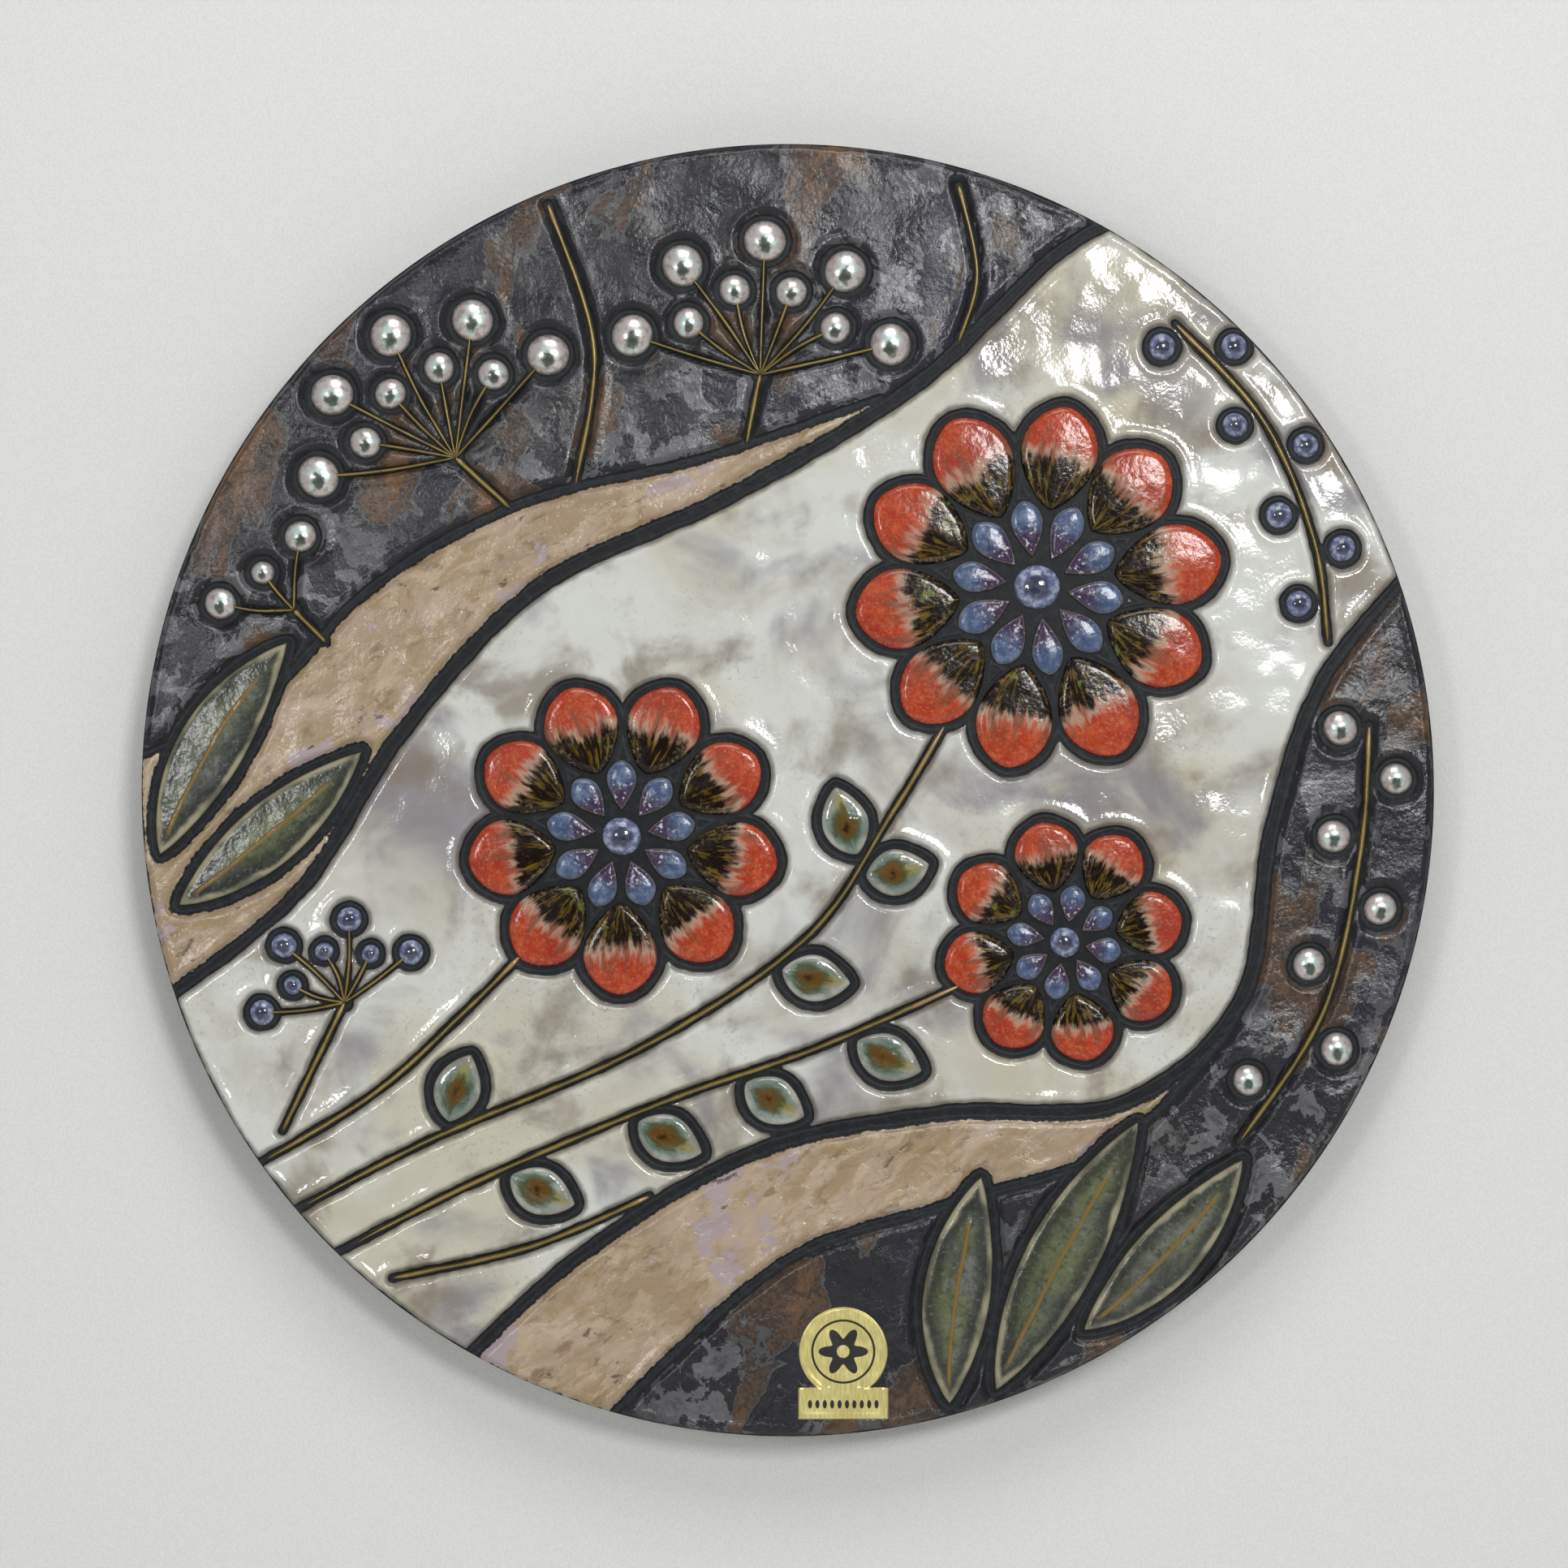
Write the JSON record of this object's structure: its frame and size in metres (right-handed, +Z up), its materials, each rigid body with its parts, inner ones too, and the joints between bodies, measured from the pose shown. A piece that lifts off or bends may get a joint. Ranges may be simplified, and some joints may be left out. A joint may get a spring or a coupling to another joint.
{
  "type": "decorative wall plate",
  "caption": "Round glazed stoneware wall plate with a foot ring, its face carved and glazed with flowers, seed heads and leaves between dark lines.",
  "frame": {"origin": "on the foot ring's flat rear face, at its top, where the plate hangs against the wall", "axes": "+Z up, the face looks along -Y, the wall is the plane Y = 0, +X to the right as seen from the front"},
  "size_m": [0.28, 0.0189, 0.28],
  "materials": {
    "glazed_face": "glossy mottled glazes over dark stoneware",
    "gold_foil": "satin gold foil"
  },
  "bodies": {
    "root": {"plate": "glazed_face", "foil_label": "gold_foil"}
  },
  "joints": []
}
